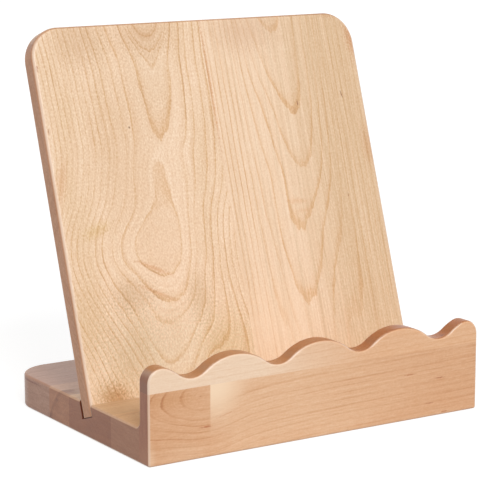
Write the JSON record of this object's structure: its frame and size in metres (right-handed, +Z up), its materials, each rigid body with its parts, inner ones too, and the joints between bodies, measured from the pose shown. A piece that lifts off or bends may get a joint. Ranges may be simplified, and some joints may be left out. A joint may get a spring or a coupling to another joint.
{
  "type": "cookbook stand",
  "caption": "Solid wood cookbook stand: thick base with a scalloped front lip and a back panel that leans in a slanted groove and lifts out.",
  "frame": {"origin": "on the table, at the middle of the stand's footprint", "axes": "+Z up, +X to the right as a reader sees the stand, -Y towards the reader, where the lip is"},
  "size_m": [0.305, 0.224, 0.3072],
  "materials": {
    "base_birch": "satin oil",
    "lip_birch": "satin oil",
    "lip_pale_birch": "satin oil",
    "dowel_beech": "raw",
    "panel_birch": "satin oil"
  },
  "bodies": {
    "base": {"base_rear_board": "base_birch", "base_narrow_board": "base_birch", "base_groove_board": "base_birch", "base_front_board": "base_birch", "lip_lower_board": "lip_birch", "lip_upper_board": "lip_pale_birch", "lip_dowels": "dowel_beech"},
    "panel": {"panel_left_board": "panel_birch", "panel_right_board": "panel_birch"}
  },
  "joints": [
    {"name": "panel_lift", "type": "slide", "parent": "base", "child": "panel", "axis": [0, 0.3173, 0.9483], "range_m": [0, 0.06]}
  ]
}
